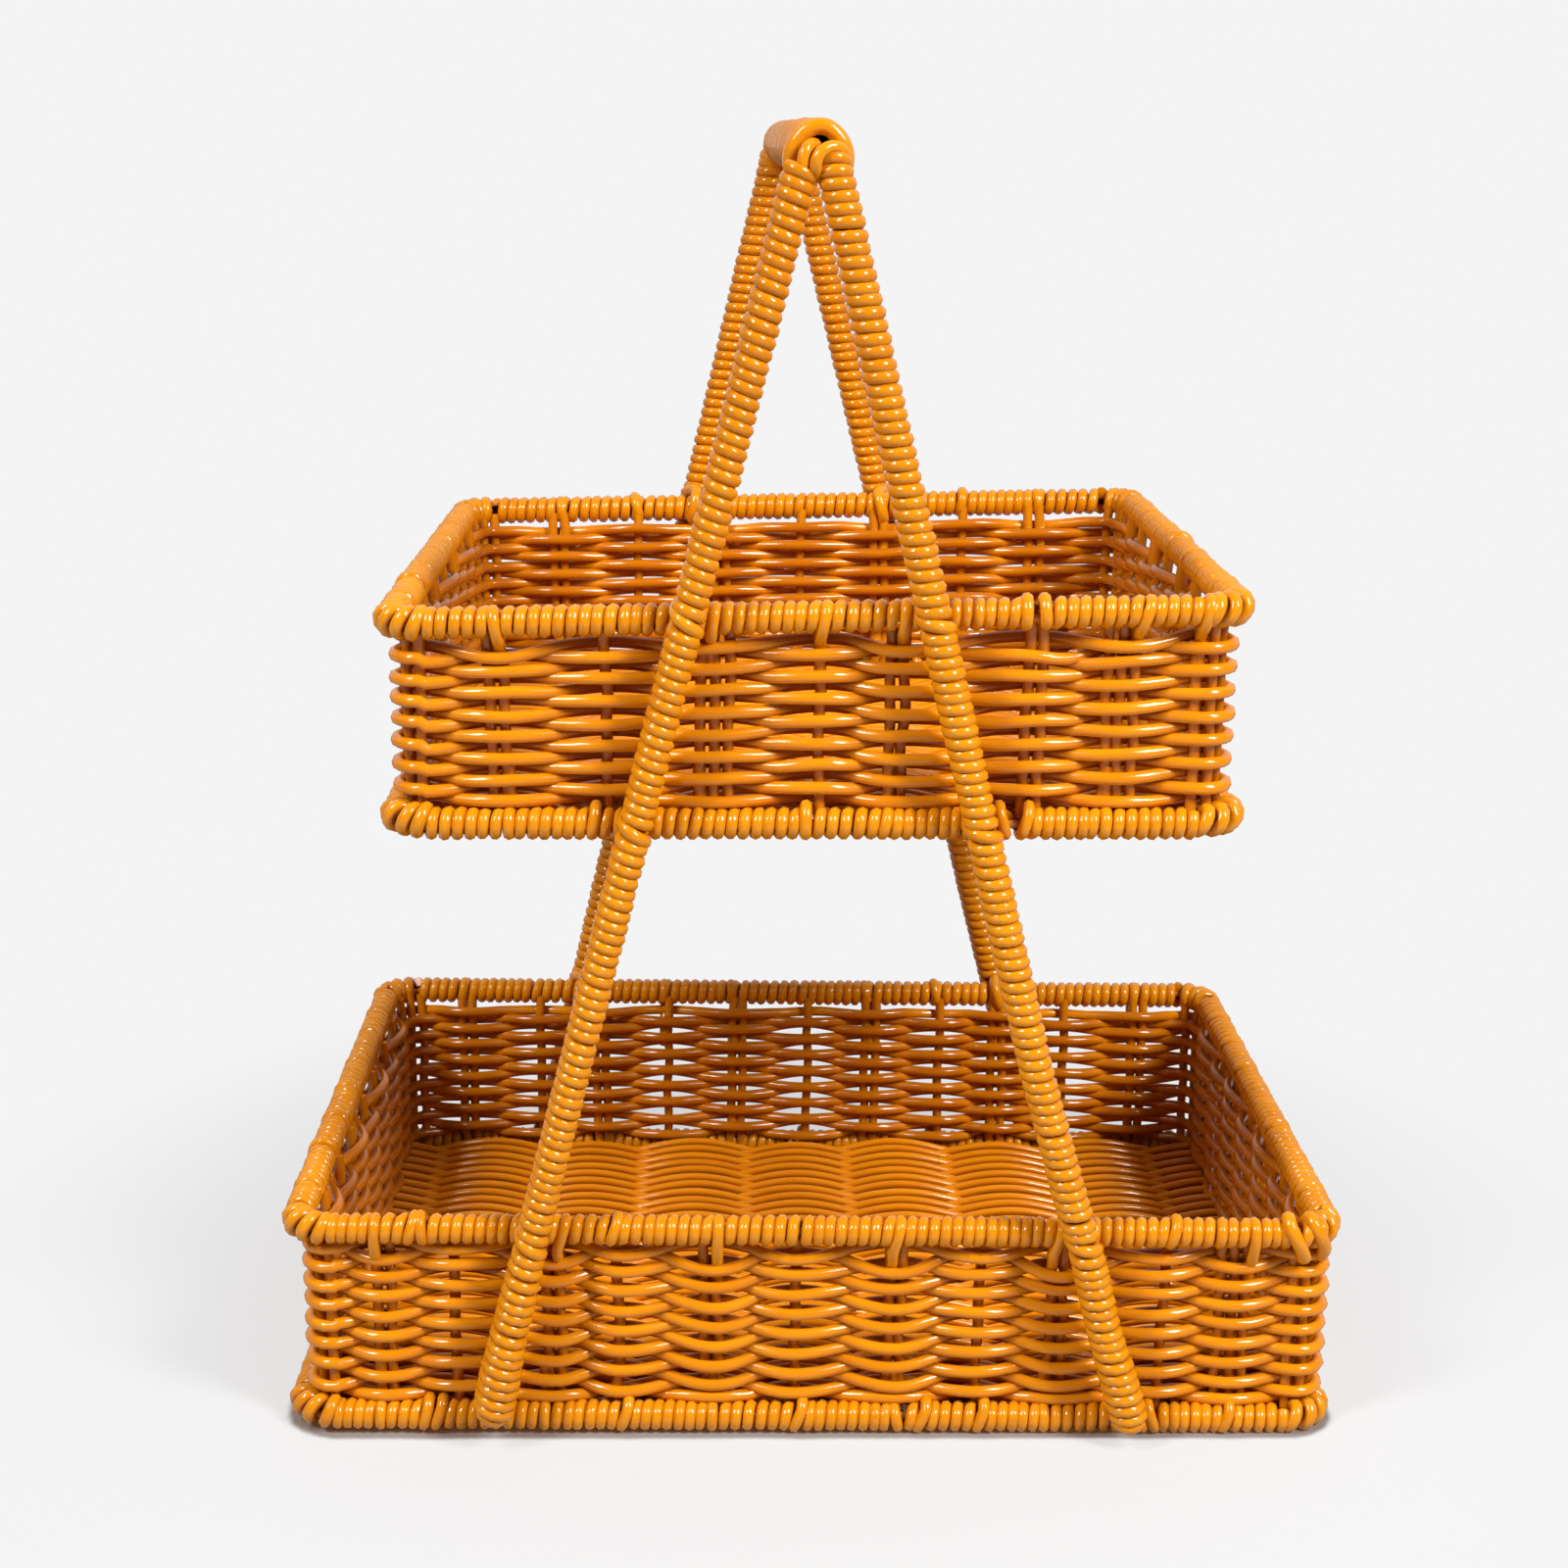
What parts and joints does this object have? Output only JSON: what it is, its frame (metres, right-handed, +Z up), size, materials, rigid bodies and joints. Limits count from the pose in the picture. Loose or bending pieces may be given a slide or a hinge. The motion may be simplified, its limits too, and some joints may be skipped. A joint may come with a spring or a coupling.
{
  "type": "tiered serving basket",
  "caption": "Two-tier rectangular woven cane basket: a narrower upper tray above a wider lower one, hung between slanted wrapped legs that join in a carrying handle.",
  "frame": {"origin": "on the floor, under the middle of the two trays", "axes": "+X to the right along the long sides of the trays, -Y towards the front, +Z up; the handle runs along Y"},
  "size_m": [0.3968, 0.2956, 0.4798],
  "materials": {
    "wrap_cane": "round extruded cane, honey brown, semi-gloss, wound in close turns",
    "wall_cane": "round extruded cane, honey brown, semi-gloss, open plain weave",
    "mat_cane": "round extruded cane, honey brown, semi-gloss, tightly packed plain weave",
    "coated_wire": "honey-coloured coating on steel wire, satin, almost wholly hidden by the cane"
  },
  "bodies": {
    "root": {"front_left_leg_head_winding": "wrap_cane", "front_left_leg_wrap": "wrap_cane", "front_right_leg_head_winding": "wrap_cane", "front_right_leg_wrap": "wrap_cane", "handle_front_band": "wrap_cane", "handle_rear_band": "wrap_cane", "handle_wrap": "wrap_cane", "left_hoop_rod": "coated_wire", "lower_bottom_rim_front_right_corner_turns": "wrap_cane", "lower_bottom_rim_front_wrap": "wrap_cane", "lower_bottom_rim_left_front_corner_turns": "wrap_cane", "lower_bottom_rim_left_wrap": "wrap_cane", "lower_bottom_rim_rear_left_corner_turns": "wrap_cane", "lower_bottom_rim_rear_wrap": "wrap_cane", "lower_bottom_rim_right_rear_corner_turns": "wrap_cane", "lower_bottom_rim_right_wrap": "wrap_cane", "lower_bottom_rim_wire": "coated_wire", "lower_front_wall": "wall_cane", "lower_left_wall": "wall_cane", "lower_mat": "mat_cane", "lower_rear_wall": "wall_cane", "lower_right_wall": "wall_cane", "lower_top_rim_front_right_corner_turns": "wrap_cane", "lower_top_rim_front_wrap": "wrap_cane", "lower_top_rim_left_front_corner_turns": "wrap_cane", "lower_top_rim_left_wrap": "wrap_cane", "lower_top_rim_rear_left_corner_turns": "wrap_cane", "lower_top_rim_rear_wrap": "wrap_cane", "lower_top_rim_right_rear_corner_turns": "wrap_cane", "lower_top_rim_right_wrap": "wrap_cane", "lower_top_rim_wire": "coated_wire", "rear_left_leg_head_wrap": "wrap_cane", "rear_left_leg_wrap": "wrap_cane", "rear_right_leg_head_wrap": "wrap_cane", "rear_right_leg_wrap": "wrap_cane", "right_hoop_rod": "coated_wire", "upper_bottom_rim_front_right_corner_turns": "wrap_cane", "upper_bottom_rim_front_wrap": "wrap_cane", "upper_bottom_rim_left_front_corner_turns": "wrap_cane", "upper_bottom_rim_left_wrap": "wrap_cane", "upper_bottom_rim_rear_left_corner_turns": "wrap_cane", "upper_bottom_rim_rear_wrap": "wrap_cane", "upper_bottom_rim_right_rear_corner_turns": "wrap_cane", "upper_bottom_rim_right_wrap": "wrap_cane", "upper_bottom_rim_wire": "coated_wire", "upper_front_wall": "wall_cane", "upper_left_wall": "wall_cane", "upper_mat": "mat_cane", "upper_rear_wall": "wall_cane", "upper_right_wall": "wall_cane", "upper_top_rim_front_right_corner_turns": "wrap_cane", "upper_top_rim_front_wrap": "wrap_cane", "upper_top_rim_left_front_corner_turns": "wrap_cane", "upper_top_rim_left_wrap": "wrap_cane", "upper_top_rim_rear_left_corner_turns": "wrap_cane", "upper_top_rim_rear_wrap": "wrap_cane", "upper_top_rim_right_rear_corner_turns": "wrap_cane", "upper_top_rim_right_wrap": "wrap_cane", "upper_top_rim_wire": "coated_wire"}
  },
  "joints": []
}
